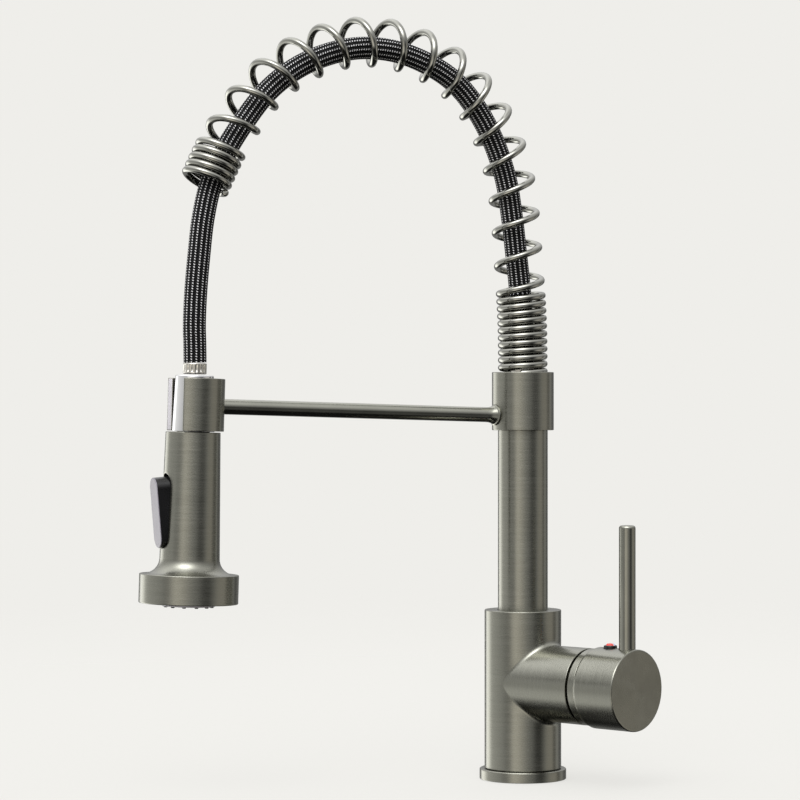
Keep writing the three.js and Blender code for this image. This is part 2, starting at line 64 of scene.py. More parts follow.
# ---- places taken from the frame ----
HEAD_UP = Vector(JOINTS["spray_head_turn"]["axis"])
HEAD_ORIGIN = Vector(JOINTS["spray_head_turn"]["pos_m"])
VALVE_Z = JOINTS["handle_temperature"]["pos_m"][2] / MM
REACH = HEAD_ORIGIN.xy.length / MM
SPOUT_OUT = Vector((HEAD_ORIGIN.x, HEAD_ORIGIN.y, 0)).normalized()
SPOUT_SIDE = Vector((0, 0, 1)).cross(SPOUT_OUT)


def low(node):
    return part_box(node)[0] / MM


def high(node):
    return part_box(node)[1] / MM


def framed(x, y, z, origin=(0, 0, 0)):
    """The matrix of a frame with these axes and origin."""
    matrix = Matrix((x, y, z)).transposed().to_4x4()
    matrix.translation = Vector(origin)
    return matrix


UPRIGHT = Matrix.Identity(4)
SPOUT = framed(SPOUT_OUT, SPOUT_SIDE, Vector((0, 0, 1)))
HEAD = framed(SPOUT_SIDE.cross(HEAD_UP), SPOUT_SIDE, HEAD_UP, HEAD_ORIGIN)
# The valve's own frame has Z along its axis and X upwards.
VALVE = framed(Vector((0, 0, 1)), Vector((0, -1, 0)), Vector((1, 0, 0)), (0, 0, VALVE_Z * MM))

# ---- driving sizes, in millimetres ----
COLUMNS = 128  # faces round a turned piece
ARC_STEP = 0.9  # the longest face along a rounded corner
EDGE_ROW = 0.3  # the row of faces that keeps a hole's wall flat beside its rim
BODY_R = high("valve_body").y
BODY_TOP = high("valve_body").z
BODY_BOTTOM = low("valve_body").z
STUB_R = 22
STUB_END = 49.6
TRIM_START = 51.4
JUNCTION_R = 3.2  # fillet between the stub and the body
FLANGE_R = high("base_flange").y
FLANGE_H = high("base_flange").z
CAP_R = 23.2
CAP_START = 56
CAP_END = 84.2
LEVER_X = 77.3
LEVER_R = 4.7
LEVER_TOP = high("lever_rod").z
INDEX_X = 65.2
RISER_R = 14.5
COLLAR_R = 18
COLLAR_BOTTOM = low("top_collar").z
COLLAR_TOP = high("top_collar").z
CLIP_R = 17
CLIP_WALL = 3.2
CLIP_HALF = 14.6
CLIP_HALF_ANGLE = 130.5  # degrees that the clip reaches round from the arm, each way
ARM_R = 4.3
ARM_DROP = 0.7
NECK_BOTTOM_R = 11.8
NECK_TOP_R = 10.6
NECK_TOP = 16.2
SHELL_TOP = -15.2
SHELL_TOP_R = 15.2
FLARE_START_R = 16.85
FLARE_R = 8.6
BELL_R = 27.6
BELL_TOP = -93.9
BELL_BOTTOM = -110.1
ROCKER_Z = -59.05
ROCKER_PIN_X = 9.3
ROCKER_HALF = 19.5
ROCKER_HALF_WIDTH = 5.95
ROCKER_FACE = 11.5
ROCKER_EDGE = 0.35
ROCKER_TILT = 6.5
SLOT_HALF = 20.75
SLOT_HALF_WIDTH = 6.25
WIRE_R = 2
COIL_R = 12.5
CLOSE_PITCH = 4.35
BASE_TURNS = 10.98
OPEN_TURNS = 15.934
END_TURNS = 5
COIL_START = 57
HOSE_R = 6.4

# Centrelines in the spout's plane: [distance from the riser's axis, height].
SPRING_ROUTE = [
    (0, 235.8), (0.3, 262), (1.6, 285), (3.4, 307.6), (5, 327.4), (8.6, 350), (17.2, 374.6), (29, 393.1),
    (43, 406.8), (61, 417), (82, 423), (104, 423.6), (125, 418.7), (144.5, 409.6), (162, 395.8),
    (176, 378.6), (187.5, 360), (197.1, 340.5),
]
HOSE_ROUTE = [
    (0, 229), (0.3, 262), (2, 285), (4.6, 307), (7, 326), (11.2, 349), (20, 372.2), (31.5, 390.6),
    (44.8, 404.2), (62.3, 413.8), (82.4, 419.6), (103.8, 420.2), (123.9, 415.5), (142.6, 406.8),
    (159.5, 393.5), (173.1, 376.8), (185.3, 358), (193.4, 340.2), (197.9, 321.5), (200.4, 301),
    (202.3, 280), (203.1, 262), (202.85, 251), (202.72, 241.1),
]

# ---- camera ----
CAMERA_AZIMUTH = math.radians(42.8)
CAMERA_HEIGHT = 0.222
CAMERA_DISTANCE = 1.69
CAMERA_SIDESTEP = 0.0716  # the faucet stands this far to the right of the view's centre
FRAME_SHIFT = -3 / 800

TOWARDS_CAMERA = Vector((math.sin(CAMERA_AZIMUTH), -math.cos(CAMERA_AZIMUTH), 0))
CAMERA_RIGHT = Vector((math.cos(CAMERA_AZIMUTH), math.sin(CAMERA_AZIMUTH), 0))


def make_camera():
    data = bpy.data.cameras.new("camera")
    data.sensor_width = 36
    data.lens = 130.5
    data.shift_y = FRAME_SHIFT
    data.clip_start, data.clip_end = 0.05, 50
    camera = bpy.data.objects.new("camera", data)
    bpy.context.scene.collection.objects.link(camera)
    place = TOWARDS_CAMERA * CAMERA_DISTANCE - CAMERA_RIGHT * CAMERA_SIDESTEP
    camera.location = (place.x, place.y, CAMERA_HEIGHT)
    camera.rotation_euler = (math.pi / 2, 0, CAMERA_AZIMUTH)
    bpy.context.scene.camera = camera


# ---- mesh helpers ----
class Skin:
    """Vertices and faces, gathered ring by ring."""

    def __init__(self):
        self.points = []
        self.faces = []
        self.materials = []

    def add_points(self, points):
        start = len(self.points)
        self.points.extend(tuple(float(x) for x in p) for p in points)
        return list(range(start, len(self.points)))

    def face(self, corners, material=0):
        distinct = list(dict.fromkeys(corners))
        if len(distinct) > 2:
            self.faces.append(distinct)
            self.materials.append(material)

    def bridge(self, first, second, material=0):
        """Faces between two closed rings of vertex numbers; either may be a single point."""
        count = max(len(first), len(second))
        for i in range(count):
            j = (i + 1) % count
            a, b = first[i % len(first)], first[j % len(first)]
            c, d = second[j % len(second)], second[i % len(second)]
            self.face([a, b, c, d], material)

    def rings(self, rings, loop=False, material=0):
        """Skins a list of rings of points, and returns the rings' vertex numbers."""
        numbers = [self.add_points(ring) for ring in rings]
        for first, second in zip(numbers, numbers[1:]):
            self.bridge(first, second, material)
        if loop:
            self.bridge(numbers[-1], numbers[0], material)
        return numbers


def make_object(name, skin, matrix=UPRIGHT, sharp=35):
    """A smooth-shaded object from a skin drawn in millimetres, in the frame that matrix gives.

    The frame's turn about its own Z goes into the vertices, so the object's box lies square to the scene.
    """
    spin = Matrix.Rotation(math.atan2(matrix[1][0], matrix[0][0]), 3, "Z")
    mesh = bpy.data.meshes.new(name)
    mesh.from_pydata(np.array(skin.points) @ np.array(spin.transposed()) * MM, [], skin.faces)
    mesh.polygons.foreach_set("material_index", skin.materials)
    mesh.shade_smooth()
    obj = bpy.data.objects.new(name, mesh)
    bpy.context.scene.collection.objects.link(obj)
    turn_faces_out(mesh)
    mesh.set_sharp_from_angle(angle=math.radians(sharp))
    obj.matrix_world = matrix @ spin.inverted().to_4x4()
    return obj


def turn_faces_out(mesh):
    """Flips every face if the closed mesh is inside out."""
    mesh.calc_loop_triangles()
    points = np.zeros(len(mesh.vertices) * 3)
    mesh.vertices.foreach_get("co", points)
    corners = np.zeros(len(mesh.loop_triangles) * 3, np.int32)
    mesh.loop_triangles.foreach_get("vertices", corners)
    a, b, c = points.reshape(-1, 3)[corners.reshape(-1, 3)].transpose(1, 0, 2)
    if np.einsum("ij,ij->", a, np.cross(b, c)) < 0:
        mesh.flip_normals()


def between(start, end, sweep, t):
    """The arm at the share t of an arc that sweeps from the arm start to the arm end."""
    return (np.sin((1 - t) * sweep) * start + np.sin(t * sweep) * end) / np.sin(sweep)


def rounded(outline, closed=True):
    """An outline of (across, up) or (across, up, radius) corners, rounded where there is a radius."""
    count = len(outline)
    points = []
    for i, (x, y, *radius) in enumerate(outline):
        corner = np.array((x, y), float)
        if not radius or not closed and i in (0, count - 1):
            points.append(corner)
            continue
        before = np.array(outline[i - 1][:2], float) - corner
        after = np.array(outline[(i + 1) % count][:2], float) - corner
        before /= np.linalg.norm(before)
        after /= np.linalg.norm(after)
        half = math.acos(np.clip(before @ after, -1, 1)) / 2
        reach = radius[0] / math.tan(half)
        support = min(0.4 * radius[0], 0.4)  # a row beside the arc keeps the flat's shading flat
        centre = corner + (before + after) / np.linalg.norm(before + after) * radius[0] / math.sin(half)
        start, end = corner + before * reach - centre, corner + after * reach - centre
        sweep = math.pi - 2 * half
        points.append(corner + before * (reach + support))
        for t in np.linspace(0, 1, max(4, math.ceil(radius[0] * sweep / ARC_STEP)) + 1):
            points.append(centre + between(start, end, sweep, t))
        points.append(corner + after * (reach + support))
    return [tuple(p) for p in points]


def round_angles(columns):
    return np.arange(columns) * 2 * math.pi / columns


def polar(radius, angles, height):
    return np.stack([radius * np.cos(angles), radius * np.sin(angles), height + 0 * angles], 1)


def circle(radius, height, columns=COLUMNS):
    if radius < 1e-6:
        return [(0, 0, height)]
    return polar(radius, round_angles(columns), height)


def turned(name, outline, matrix=UPRIGHT, columns=COLUMNS):
    """A piece turned about Z from (radius, height, corner radius) points; a bored one closes on itself."""
    profile = rounded(outline)
    skin = Skin()
    skin.rings([circle(r, z, columns) for r, z in profile], loop=outline[0][0] > 0)
    return make_object(name, skin, matrix)


def with_rows(profile, heights):
    """The profile with rows added at these heights, on the outermost straight stretch that holds them all."""
    best = None
    for i, ((r1, z1), (r2, z2)) in enumerate(zip(profile, profile[1:])):
        if min(z1, z2) <= min(heights) and max(heights) <= max(z1, z2):
            if best is None or r1 + r2 > profile[best][0] + profile[best + 1][0]:
                best = i
    (r1, z1), (r2, z2) = profile[best : best + 2]
    ordered = sorted(heights, reverse=z1 > z2)
    rows = [(r1 + (r2 - r1) * (z - z1) / (z2 - z1), z) for z in ordered]
    return profile[: best + 1] + rows + profile[best + 1 :]


def window_loop(first_row, rows, first_column, columns):
    """(row, column) round a window's edge, anticlockwise from the middle of its right side, rows upwards."""
    right, left = first_column + columns, first_column
    top, bottom = first_row + rows, first_row
    loop = [(row, right) for row in range(bottom + rows // 2, top)]
    loop += [(top, column) for column in range(right, left, -1)]
    loop += [(row, left) for row in range(top, bottom, -1)]
    loop += [(bottom, column) for column in range(left, right)]
    loop += [(row, right) for row in range(bottom, bottom + rows // 2)]
    return loop


def pierced(name, outline, holes, matrix=UPRIGHT, columns=COLUMNS):
    """A turned piece with holes in its side.

    Each hole has an angle and height, the half height and the rows, columns and layers of the window of faces
    that makes room for it, and rings: a function from shares of its edge to its rings, drawn along +X.
    """
    profile = rounded(outline)
    for hole in holes:
        rows = hole["rows"]
        heights = [hole["height"] + hole["half_height"] * (2 * i / rows - 1) for i in range(rows + 1)]
        profile = with_rows(profile, heights)
    skin = Skin()
    grid = [skin.add_points(circle(r, z, columns)) for r, z in profile]
    left_out = set()
    for hole in holes:
        step = 360 / columns
        across = hole["columns"]
        first_column = round(hole["angle"] / step) - across // 2
        inside = [i for i, (r, z) in enumerate(profile)
                  if abs(z - hole["height"]) < hole["half_height"] + 1e-6 and r > hole["inner"]]
        first_row = min(inside)
        rising = profile[inside[-1]][1] > profile[first_row][1]
        loop = window_loop(0, hole["rows"], first_column, across)
        if not rising:
            loop = [(hole["rows"] - row, column) for row, column in loop]
        edge = [(first_row + row, column) for row, column in loop]
        for row in range(hole["rows"]):
            for column in range(across):
                left_out.add((first_row + row, (first_column + column) % columns))
        fill_window(skin, profile, grid, hole, edge, columns)
    last = len(profile) if outline[0][0] > 0 else len(profile) - 1
    for row in range(last):
        ring, above = grid[row], grid[(row + 1) % len(profile)]
        for column in range(columns):
            if (row, column) in left_out:
                continue
            after = (column + 1) % columns
            skin.face([ring[column % len(ring)], ring[after % len(ring)],
                       above[after % len(above)], above[column % len(above)]])
    return make_object(name, skin, matrix)


def fill_window(skin, profile, grid, hole, edge, columns):
    """Faces from a window's edge in to the hole's rim, and the hole itself."""
    turn = math.radians(hole["angle"])
    shares = np.arange(len(edge)) / len(edge)
    rings = [np.array(ring, float) for ring in hole["rings"](shares)]
    rim = rings[0]
    rim_angle, rim_height = np.arctan2(rim[:, 1], rim[:, 0]), rim[:, 2]
    edge_angle = np.array([math.radians(column * 360 / columns) for _, column in edge]) - turn
    edge_height = np.array([profile[row][1] for row, _ in edge])
    wall = sorted({profile[row][::-1] for row, _ in edge})
    before = [grid[row][column % columns] for row, column in edge]
    for layer in range(1, hole["layers"]):
        t = layer / hole["layers"]
        angle = edge_angle * (1 - t) + rim_angle * t + turn
        height = edge_height * (1 - t) + rim_height * t
        radius = np.interp(height, [z for z, _ in wall], [r for _, r in wall])
        ring = skin.add_points(polar(radius, angle, height))
        skin.bridge(before, ring)
        before = ring
    spin = np.array(Matrix.Rotation(turn, 3, "Z").transposed())
    for ring in rings:
        numbers = skin.add_points(ring @ spin)
        skin.bridge(before, numbers, hole.get("material", 0) if ring is not rim else 0)
        before = numbers


def round_edge(shares, radius, grow=0):
    across, up, _ = polar(radius + grow, 2 * math.pi * shares, 0).T
    return across, up


def pill_edge(shares, half_width, half_height, grow=0):
    """(across, up) round an upright slot with round ends, from the middle of its right side."""
    straight = half_height - half_width
    arc = math.pi * half_width
    stops = np.cumsum([0, straight, arc, 2 * straight, arc, straight])
    along = shares * stops[-1]
    angle = np.interp(along, stops, [0, 0, math.pi, math.pi, 2 * math.pi, 2 * math.pi])
    level = np.interp(along, stops, [0, straight, straight, -straight, -straight, 0])
    across, up, _ = polar(half_width + grow, angle, 0).T
    return across, level + up


def quarter_turn(radius):
    """(distance across, drop) from the corner to four places along its rounding."""
    angles = [math.radians(turn) for turn in (0, 30, 60, 90)]
    return [(radius * (1 - math.sin(angle)), radius * (1 - math.cos(angle))) for angle in angles]


def pocket(edge, wall_radius, height, rim, floor):
    """Rings of a blind hole along +X: its rounded rim, its wall and its floor."""
    def rings(shares):
        made = []
        for inset, drop in quarter_turn(rim):
            across, up = edge(shares, inset)
            surface = np.sqrt(wall_radius(height + up) ** 2 - across**2)
            made.append(np.stack([surface - drop, across, height + up], 1))
        made.append(np.stack([made[-1][:, 0] - EDGE_ROW, across, height + up], 1))
        made.append(np.stack([np.full(len(shares), floor), across, height + up], 1))
        made.append(np.array([(floor, 0, height)]))
        return made
    return rings


def round_hole(angle, height, radius, window, wall_radius, rim, floor):
    """A round blind hole for pierced(); window is the half height and the rows of the window round it."""
    half_height, rows = window
    rings = pocket(lambda s, g: round_edge(s, radius, g), lambda z: wall_radius + 0 * z, height, rim, floor)
    return {"angle": angle, "height": height, "half_height": half_height, "rows": rows, "columns": rows,
            "layers": 2, "inner": wall_radius - 1, "rings": rings}


def directions(points):
    """The direction of travel at each point of a line."""
    steps = np.gradient(points, axis=0)
    return steps / np.linalg.norm(steps, axis=1)[:, None]


ROUTE_STEPS = 24  # places worked out between two points of a route


def smooth_route(route, spacing):
    """Points every spacing along a centripetal Catmull-Rom curve through a route, in the spout's plane."""
    fixed = np.array([(u, 0, z) for u, z in route], float)
    padded = np.vstack([2 * fixed[0] - fixed[1], fixed, 2 * fixed[-1] - fixed[-2]])
    fine = []
    for p0, p1, p2, p3 in zip(padded, padded[1:], padded[2:], padded[3:]):
        t1 = math.sqrt(np.linalg.norm(p1 - p0))
        t2 = t1 + math.sqrt(np.linalg.norm(p2 - p1))
        t3 = t2 + math.sqrt(np.linalg.norm(p3 - p2))
        for t in np.linspace(t1, t2, ROUTE_STEPS, endpoint=False):
            a1 = (t1 - t) / t1 * p0 + t / t1 * p1
            a2 = (t2 - t) / (t2 - t1) * p1 + (t - t1) / (t2 - t1) * p2
            a3 = (t3 - t) / (t3 - t2) * p2 + (t - t2) / (t3 - t2) * p3
            b1 = (t2 - t) / t2 * a1 + t / t2 * a2
            b2 = (t3 - t) / (t3 - t1) * a2 + (t - t1) / (t3 - t1) * a3
            fine.append((t2 - t) / (t2 - t1) * b1 + (t - t1) / (t2 - t1) * b2)
    fine = np.array([*fine, fixed[-1]])
    travel = np.concatenate([[0], np.cumsum(np.linalg.norm(np.diff(fine, axis=0), axis=1))])
    steps = max(2, round(travel[-1] / spacing))
    wanted = np.linspace(0, travel[-1], steps + 1)
    return np.stack([np.interp(wanted, travel, fine[:, k]) for k in range(3)], 1), travel[-1]


# ---- materials ----
def node(tree, kind, inputs=(), **settings):
    """Adds a shader node. Inputs are (name or number, value or socket) pairs."""
    made = tree.nodes.new("ShaderNode" + kind)
    for name, value in settings.items():
        setattr(made, name, value)
    for name, value in dict(inputs).items():
        if isinstance(value, bpy.types.NodeSocket):
            tree.links.new(value, made.inputs[name])
        else:
            made.inputs[name].default_value = value
    return made


def ramp(tree, factor, stops, interpolation="LINEAR"):
    """A colour ramp over (position, grey or colour) stops."""
    made = node(tree, "ValToRGB", {"Fac": factor})
    elements = made.color_ramp.elements
    made.color_ramp.interpolation = interpolation
    while len(elements) < len(stops):
        elements.new(0.5)
    for element, (position, colour) in zip(elements, stops):
        element.position = position
        element.color = (colour,) * 3 + (1,) if isinstance(colour, (int, float)) else (*colour, 1)
    return made.outputs["Color"]


def maths(tree, operation, *values):
    return node(tree, "Math", dict(enumerate(values)), operation=operation).outputs[0]


def combine(tree, operation, first, second):
    return node(tree, "VectorMath", {0: first, 1: second}, operation=operation).outputs[0]


def new_material(name, **values):
    material = bpy.data.materials.new(name)
    material.use_nodes = True
    tree = material.node_tree
    shader = tree.nodes["Principled BSDF"]
    for key, value in values.items():
        shader.inputs[key.replace("_", " ").title().replace("Ior", "IOR")].default_value = value
    return material, tree, shader


def grain(tree, scale, detail):
    """Noise over the piece's own place, with a scale for each axis, in features a metre."""
    place = node(tree, "TexCoord").outputs["Object"]
    stretched = node(tree, "Mapping", {"Vector": place, "Scale": scale}, vector_type="POINT")
    noise = node(tree, "TexNoise", {"Vector": stretched.outputs[0], "Scale": 1, "Detail": detail})
    return noise.outputs[0]


def mixed(tree, factor, first, second):
    made = node(tree, "Mix", {0: factor, 6: (*first, 1), 7: (*second, 1)}, data_type="RGBA")
    return made.outputs[2]


def add_bump(tree, shader, height, strength, distance):
    bump = node(tree, "Bump", {"Height": height, "Strength": strength, "Distance": distance})
    tree.links.new(bump.outputs[0], shader.inputs["Normal"])


def set_roughness(tree, shader, value, start, end, low=0.3, high=0.7):
    """Roughness that runs from start to end as a value runs from low to high."""
    rough = node(tree, "MapRange", {"Value": value, "From Min": low, "From Max": high,
                                    "To Min": start, "To Max": end})
    tree.links.new(rough.outputs[0], shader.inputs["Roughness"])


def brushed(name, dark, light, roughness, axis=(0, 0, 1)):
    """Metal that was brushed round this axis of its own."""
    material, tree, shader = new_material(name, metallic=1.0, anisotropic=0.65, anisotropic_rotation=0.25)
    scale = [BRUSH_ACROSS if part else BRUSH_ALONG for part in axis]
    streak = grain(tree, tuple(scale), 2.0)
    coarse = grain(tree, tuple(x * 0.17 for x in scale), 2.0)
    cloud = grain(tree, (18, 18, 18), 2.0)
    blend = maths(tree, "ADD", maths(tree, "MULTIPLY", streak, 0.5), maths(tree, "MULTIPLY", coarse, 0.35))
    blend = maths(tree, "ADD", blend, maths(tree, "MULTIPLY", cloud, 0.15))
    tree.links.new(ramp(tree, blend, [(0.32, dark), (0.68, light)]), shader.inputs["Base Color"])
    set_roughness(tree, shader, blend, roughness - 0.05, roughness + 0.05)
    add_bump(tree, shader, streak, 0.12, 0.00004)
    around = combine(tree, "CROSS_PRODUCT", axis, node(tree, "TexCoord").outputs["Object"])
    tangent = node(tree, "VectorTransform", {"Vector": around},
                   vector_type="VECTOR", convert_from="OBJECT", convert_to="WORLD")
    tree.links.new(tangent.outputs[0], shader.inputs["Tangent"])
    return material


def smooth_metal(name, dark, light, roughness, spread):
    """Polished or plated metal, with faint wipe marks in its gloss."""
    material, tree, shader = new_material(name, metallic=1.0)
    cloud = grain(tree, (45, 45, 45), 4.0)
    tree.links.new(ramp(tree, cloud, [(0.3, dark), (0.7, light)]), shader.inputs["Base Color"])
    set_roughness(tree, shader, cloud, roughness, roughness + spread)
    add_bump(tree, shader, grain(tree, (1500, 1500, 1500), 2.0), 0.03, 0.00003)
    return material


def plain(name, dark, light, roughness, bump=0.15, feature=1800):
    """Moulded plastic, rubber or ceramic, with a fine texture."""
    material, tree, shader = new_material(name)
    cloud = grain(tree, (70, 70, 70), 3.0)
    tree.links.new(ramp(tree, cloud, [(0.3, dark), (0.7, light)]), shader.inputs["Base Color"])
    speck = grain(tree, (feature,) * 3, 2.0)
    set_roughness(tree, shader, speck, roughness - 0.06, roughness + 0.06)
    add_bump(tree, shader, speck, bump, 0.00005)
    return material


BRUSH_ALONG = 160  # brush marks a metre along them
BRUSH_ACROSS = 5200  # and across them
BRAID_COLUMNS = 14  # columns of strands round the hose
BRAID_PITCH = 1.49  # millimetres between strands along the hose
BRAID_SLANT = -0.6  # strands that a column crosses from side to side


def braid_material():
    """Glossy black braid: columns of slanting strands, with a pale mark over the middle of each strand that is
    partly a pale thread and partly a painted highlight on the strand's crown.
    """
    material, tree, shader = new_material("hose_braid_mat", specular_ior_level=0.12)
    place = node(tree, "UVMap", uv_map="braid").outputs[0]
    split = node(tree, "SeparateXYZ", {0: place})
    around, along = split.outputs[0], split.outputs[1]
    column = maths(tree, "FRACT", maths(tree, "MULTIPLY", around, BRAID_COLUMNS))
    slant = maths(tree, "MULTIPLY", column, BRAID_SLANT)
    strand = maths(tree, "FRACT", maths(tree, "MULTIPLY_ADD", along, 1 / MM / BRAID_PITCH, slant))
    hump = maths(tree, "SINE", maths(tree, "MULTIPLY", strand, math.pi))
    crown = maths(tree, "SINE", maths(tree, "MULTIPLY", column, math.pi))
    relief = maths(tree, "MULTIPLY", hump, crown)
    # pale marks on the strands' crowns: partly thread colour, partly painted highlight
    on_strand = node(tree, "MapRange", {"Value": hump, "From Min": 0.66, "From Max": 0.9}).outputs[0]
    in_middle = node(tree, "MapRange", {"Value": crown, "From Min": 0.84, "From Max": 0.96}).outputs[0]
    pale = maths(tree, "MULTIPLY", on_strand, in_middle)
    tree.links.new(mixed(tree, pale, (0.003, 0.003, 0.0035), (0.68, 0.68, 0.69)), shader.inputs["Base Color"])
    set_roughness(tree, shader, relief, 0.6, 0.32, 0, 1)
    add_bump(tree, shader, relief, 0.8, 0.0004)
    return material


def index_material():
    """The hot and cold mark: red on one side of a pale line, blue on the other."""
    material, tree, shader = new_material("index_mat", roughness=0.25, coat_weight=0.6, coat_roughness=0.05)
    side = node(tree, "SeparateXYZ", {0: node(tree, "TexCoord").outputs["Object"]}).outputs[1]
    share = maths(tree, "MULTIPLY_ADD", side, 200, 0.5)
    tone = ramp(tree, share, [(0, (0.62, 0.03, 0.02)), (0.44, (0.9, 0.88, 0.85)), (0.56, (0.03, 0.12, 0.6))],
                "CONSTANT")
    speck = grain(tree, (900, 900, 900), 2.0)
    tree.links.new(tone, shader.inputs["Base Color"])
    add_bump(tree, shader, speck, 0.05, 0.00003)
    return material


NICKEL_DARK = (0.244, 0.243, 0.211)
NICKEL_LIGHT = (0.280, 0.279, 0.242)

M = {
    "nickel": brushed("nickel_round_z", NICKEL_DARK, NICKEL_LIGHT, 0.27),
    "nickel_x": brushed("nickel_round_x", NICKEL_DARK, NICKEL_LIGHT, 0.27, axis=(1, 0, 0)),
    "satin": smooth_metal("nickel_satin", (0.27, 0.27, 0.235), (0.31, 0.31, 0.27), 0.17, 0.05),
    "chrome": smooth_metal("chrome_polished", (0.80, 0.80, 0.81), (0.86, 0.86, 0.87), 0.05, 0.03),
    "wire": smooth_metal("nickel_wire", (0.285, 0.284, 0.258), (0.33, 0.329, 0.30), 0.06, 0.04),
    "steel": smooth_metal("steel_plated", (0.60, 0.58, 0.53), (0.70, 0.68, 0.63), 0.14, 0.06),
    "brass": smooth_metal("brass_machined", (0.56, 0.38, 0.15), (0.68, 0.48, 0.22), 0.24, 0.08),
    "rubber": plain("rubber_black", (0.012, 0.012, 0.012), (0.022, 0.022, 0.022), 0.72),
    "white": plain("plastic_white", (0.66, 0.65, 0.61), (0.72, 0.71, 0.67), 0.45, 0.08),
    # Painted shade: brass coloured near-black to stand for the shadowed gap under the ferrule.
    "brass_in_painted_shade": smooth_metal("brass_painted_shade", (0.035, 0.030, 0.024), (0.055, 0.047, 0.037), 0.4, 0.1),
    "gloss_black": plain("plastic_gloss_black", (0.006, 0.006, 0.0065), (0.01, 0.01, 0.011), 0.16, 0.04,
                         2600),
    # Pale lavender plastic: on the clip's two end faces its paleness is a painted reflection, standing in for the
    # light that the metal ends catch; on the spray plate it gives the plate a pale colour.
    "clip_end": plain("pale_plastic_and_painted_sheen", (0.54, 0.525, 0.56), (0.60, 0.585, 0.62), 0.35, 0.1),
    "lavender": plain("rocker_face_grey", (0.19, 0.178, 0.212), (0.222, 0.206, 0.245), 0.32, 0.12, 2600),
    "dark": plain("plastic_dark", (0.020, 0.019, 0.022), (0.030, 0.028, 0.033), 0.36, 0.25, 2600),
    "grey": plain("plastic_grey", (0.24, 0.24, 0.235), (0.30, 0.30, 0.29), 0.45, 0.1),
    "ceramic": plain("ceramic_disc", (0.82, 0.80, 0.74), (0.87, 0.85, 0.80), 0.22, 0.03),
    "braid": braid_material(),
    "index": index_material(),
}

CAD_LOOKS = {
    "brushed_nickel": "satin", "polished_chrome": "chrome", "spring_wire": "wire", "brass": "brass",
    "steel": "steel", "rubber": "rubber", "hose_braid": "rubber", "white_plastic": "white",
    "dark_plastic": "dark", "grey_plastic": "grey", "ceramic": "ceramic", "index_colours": "index",
}
NODE_LOOKS = {"hose_nut": "brass_in_painted_shade"}  # the nut is painted near-black as shade: it shows only in the shadowed gap under the ferrule


def finish_piece(obj, body, slot, nodes, *materials):
    """Gives a piece its materials and its body, and hides the CAD nodes that it stands for. The slot is not used.
    """
    for name in materials:
        obj.data.materials.append(M[name])
    if body:
        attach(obj, body)
    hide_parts(*nodes)


def turned_piece(name, outline, matrix, body, slot, nodes, look, columns=COLUMNS):
    finish_piece(turned(name, outline, matrix, columns), body, slot, nodes, look)


# ---- hose and spring ----
HOSE_COLUMNS = 112
HOSE_ROW = 0.9  # millimetres between the hose's rows of faces
BRAID_RIB = 0.2  # how far the columns of strands stand out
COIL_ROWS = 40  # rows of faces in a turn of the spring
WIRE_SIDES = 16
# The wire's rounded ends: (share of its thickness, distance in from its end).
WIRE_END = ((0.55, 0), (0.87, 0.25), (1, 0.9))


def in_spout(u, z=0):
    return SPOUT @ (Vector((u, 0, z)) * MM)


def make_hose():
    line, length = smooth_route(HOSE_ROUTE, HOSE_ROW)
    angles = round_angles(HOSE_COLUMNS)
    ribs = np.abs(np.sin(BRAID_COLUMNS / 2 * angles))
    sideways, up, _ = polar(HOSE_R - BRAID_RIB * (1 - ribs), angles, 0).T
    skin = Skin()
    rings = []
    for point, (east, _, rise) in zip(line, directions(line)):
        rings.append(point + np.outer(sideways, (0, 1, 0)) + np.outer(up, (rise, 0, -east)))
    numbers = skin.rings([line[:1], *rings, line[-1:]])
    hose = make_object("braided_hose", skin, SPOUT, sharp=80)
    first = numbers[1][0]
    steps = np.linspace(0, length * MM, len(line))
    layer = hose.data.uv_layers.new(name="braid")
    vertex = np.zeros(len(hose.data.loops), np.int32)
    hose.data.loops.foreach_get("vertex_index", vertex)
    ring = np.clip((vertex - first) // HOSE_COLUMNS, 0, len(line) - 1)
    around = wrapped(hose.data, ((vertex - first) % HOSE_COLUMNS) / HOSE_COLUMNS)
    layer.data.foreach_set("uv", np.stack([around, steps[ring]], 1).ravel())
    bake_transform(hose)
    finish_piece(hose, None, "hose_braid", ["spray_hose"], "braid")
    path = [in_spout(u, z) for u, _, z in smooth_route(HOSE_ROUTE, 6)[0]]


def wrapped(mesh, around):
    """Shares round a tube for each face corner, with the last column's far side at 1 in place of 0."""
    around = around.copy()
    start, total = np.zeros(len(mesh.polygons), np.int32), np.zeros(len(mesh.polygons), np.int32)
    mesh.polygons.foreach_get("loop_start", start)
    mesh.polygons.foreach_get("loop_total", total)
    for first, count in zip(start, total):
        corners = around[first : first + count]
        if corners.max() - corners.min() > 0.5:
            around[first : first + count] = np.where(corners < 0.5, corners + 1, corners)
    return around


def coil_travel(turn, length):
    """Distance along the spring's centreline after some turns. Each change of pitch takes half a turn."""
    base = BASE_TURNS * CLOSE_PITCH
    end = length - END_TURNS * CLOSE_PITCH
    stops = [-1, BASE_TURNS, BASE_TURNS + OPEN_TURNS, BASE_TURNS + OPEN_TURNS + END_TURNS + 1]
    places = [-CLOSE_PITCH, base, end, end + (END_TURNS + 1) * CLOSE_PITCH]
    offsets = (-0.25, -0.125, 0, 0.125, 0.25)
    return sum(np.interp(turn + offset, stops, places) for offset in offsets) / len(offsets)


